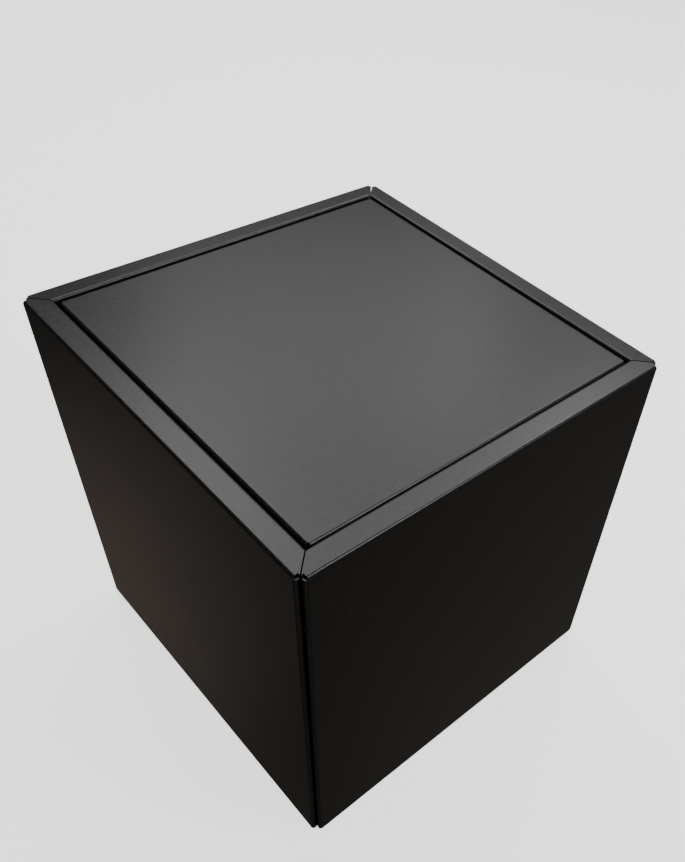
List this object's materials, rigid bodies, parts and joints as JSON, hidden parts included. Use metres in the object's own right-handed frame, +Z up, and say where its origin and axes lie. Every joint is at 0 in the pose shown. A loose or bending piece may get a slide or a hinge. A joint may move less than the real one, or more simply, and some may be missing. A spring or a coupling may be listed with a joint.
{
  "type": "sheet metal cube box",
  "caption": "Cube-shaped folded sheet-metal box with a flush drop-in lid, for standing, sitting or propping things on and for storage inside.",
  "frame": {"origin": "middle of the box at floor level, under the feet", "axes": "+Z up, -Y the front, +X to the right; the box is slightly deeper (Y) than wide (X)"},
  "size_m": [0.4, 0.41, 0.4149],
  "materials": {
    "powder_coat": "satin black fine-texture powder coat",
    "zinc_steel": "zinc-plated",
    "black_nylon": "moulded black nylon",
    "black_rubber": "matt moulded rubber",
    "pad_foam": "matt cellular rubber"
  },
  "bodies": {
    "box": {"front_panel": "powder_coat", "rear_panel": "powder_coat", "left_panel": "powder_coat", "right_panel": "powder_coat", "base_plate": "powder_coat", "base_rivets": "zinc_steel", "foot_front_left": "black_rubber", "foot_front_right": "black_rubber", "foot_rear_left": "black_rubber", "foot_rear_right": "black_rubber", "foot_screws": "zinc_steel", "foot_nuts": "zinc_steel", "corner_bolts_front_left": "zinc_steel", "corner_bolts_front_right": "zinc_steel", "corner_bolts_rear_left": "zinc_steel", "corner_bolts_rear_right": "zinc_steel", "corner_nuts_front_left": "zinc_steel", "corner_nuts_front_right": "zinc_steel", "corner_nuts_rear_left": "zinc_steel", "corner_nuts_rear_right": "zinc_steel", "corner_spacers_front_left": "black_nylon", "corner_spacers_front_right": "black_nylon", "corner_spacers_rear_left": "black_nylon", "corner_spacers_rear_right": "black_nylon", "lid_pad_front_left": "pad_foam", "lid_pad_front_right": "pad_foam", "lid_pad_rear_left": "pad_foam", "lid_pad_rear_right": "pad_foam"},
    "lid_body": {"lid": "powder_coat", "lid_stiffener_left": "powder_coat", "lid_stiffener_right": "powder_coat"}
  },
  "joints": [
    {"name": "lid_lift", "type": "slide", "parent": "box", "child": "lid_body", "axis": [0, 0, 1], "range_m": [0, 0.15]}
  ]
}
